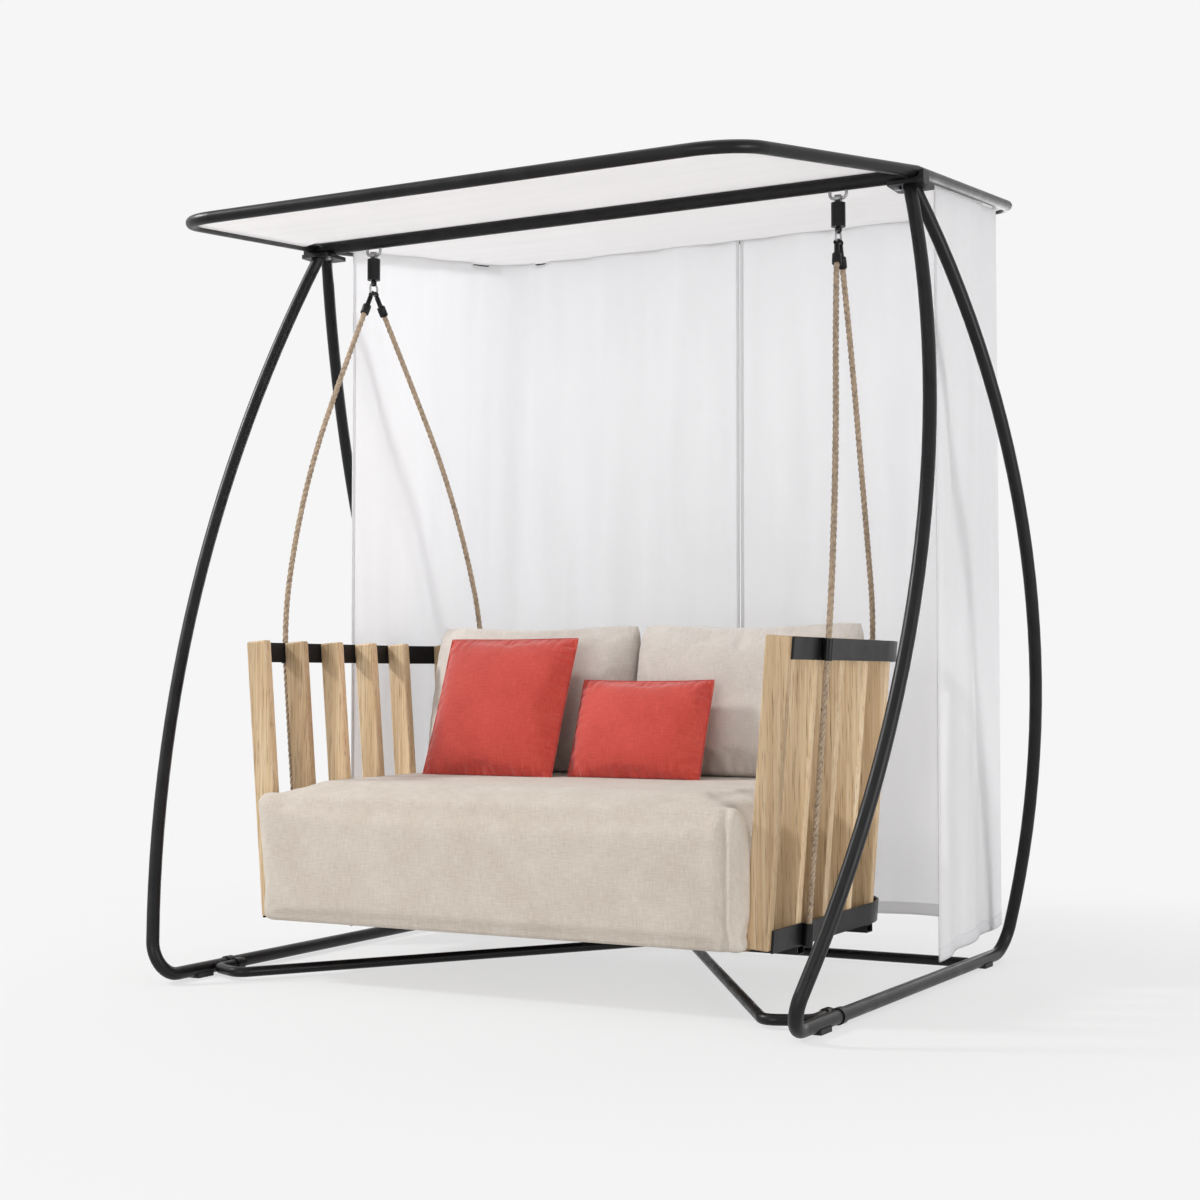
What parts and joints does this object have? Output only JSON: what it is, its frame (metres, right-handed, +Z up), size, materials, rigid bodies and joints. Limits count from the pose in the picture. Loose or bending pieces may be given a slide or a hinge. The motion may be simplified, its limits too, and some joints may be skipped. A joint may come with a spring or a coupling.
{
  "type": "garden swing",
  "caption": "Free-standing garden swing sofa: bowed tube stand with sloped cloth canopy and rear curtains, and a cushioned slat basket seat that hangs on ropes from swivels.",
  "frame": {"origin": "on the floor, in the middle of the plan outline, midway between the canopy's front and rear edges", "axes": "+X along the top beam towards the right arm as one faces the back, +Y to the rear, +Z up"},
  "size_m": [2.1066, 1.7742, 2.1441],
  "materials": {
    "frame_black": "satin black powder coat",
    "steel": "brushed",
    "glide": "matt",
    "canopy_cloth": "plain woven off-white",
    "teak": "oiled, straight grain",
    "plywood": "raw board",
    "rope": "twisted beige rope",
    "seat_linen": "greige linen weave",
    "back_linen": "taupe linen weave",
    "red_linen": "red linen weave"
  },
  "bodies": {
    "stand": {"apex_bolts": "steel", "brace_collars": "frame_black", "canopy_fabric": "canopy_cloth", "canopy_front_tube": "frame_black", "canopy_rear_tube": "frame_black", "foot_glides": "glide", "left_apex_plate": "frame_black", "left_base_rail": "frame_black", "left_canopy_joint": "frame_black", "left_curtain": "canopy_cloth", "left_diagonal_brace": "frame_black", "left_front_leg": "frame_black", "left_hanger_loop": "steel", "left_rear_leg": "frame_black", "rear_crossbar": "frame_black", "right_apex_plate": "frame_black", "right_base_rail": "frame_black", "right_canopy_joint": "frame_black", "right_curtain": "canopy_cloth", "right_diagonal_brace": "frame_black", "right_front_leg": "frame_black", "right_hanger_loop": "steel", "right_rear_leg": "frame_black", "top_beam": "frame_black"},
    "seat": {"back_slats": "teak", "left_arm_slat_1": "teak", "left_arm_slat_2": "teak", "left_arm_slat_3": "teak", "left_arm_slat_4": "teak", "left_arm_slat_5": "teak", "left_arm_slat_6": "teak", "left_back_cushion": "back_linen", "left_front_rope": "rope", "left_rear_rope": "rope", "left_swivel_eye": "steel", "left_swivel_housing": "frame_black", "left_swivel_ring": "steel", "lower_band": "frame_black", "lumbar_cushion": "red_linen", "right_arm_slat_1": "teak", "right_arm_slat_2": "teak", "right_arm_slat_3": "teak", "right_arm_slat_4": "teak", "right_arm_slat_5": "teak", "right_arm_slat_6": "teak", "right_back_cushion": "back_linen", "right_front_rope": "rope", "right_rear_rope": "rope", "right_swivel_eye": "steel", "right_swivel_housing": "frame_black", "right_swivel_ring": "steel", "rope_anchors": "frame_black", "rope_guides": "frame_black", "rope_terminals": "frame_black", "seat_crossrails": "frame_black", "seat_cushion": "seat_linen", "seat_platform": "plywood", "square_cushion": "red_linen", "swivel_bearings": "steel", "upper_band": "frame_black"}
  },
  "joints": [
    {"name": "swing", "type": "hinge", "parent": "stand", "child": "seat", "pos_m": [0, -0.11013, 1.9625], "axis": [1, 0, 0], "range_deg": [-15, 15]}
  ]
}
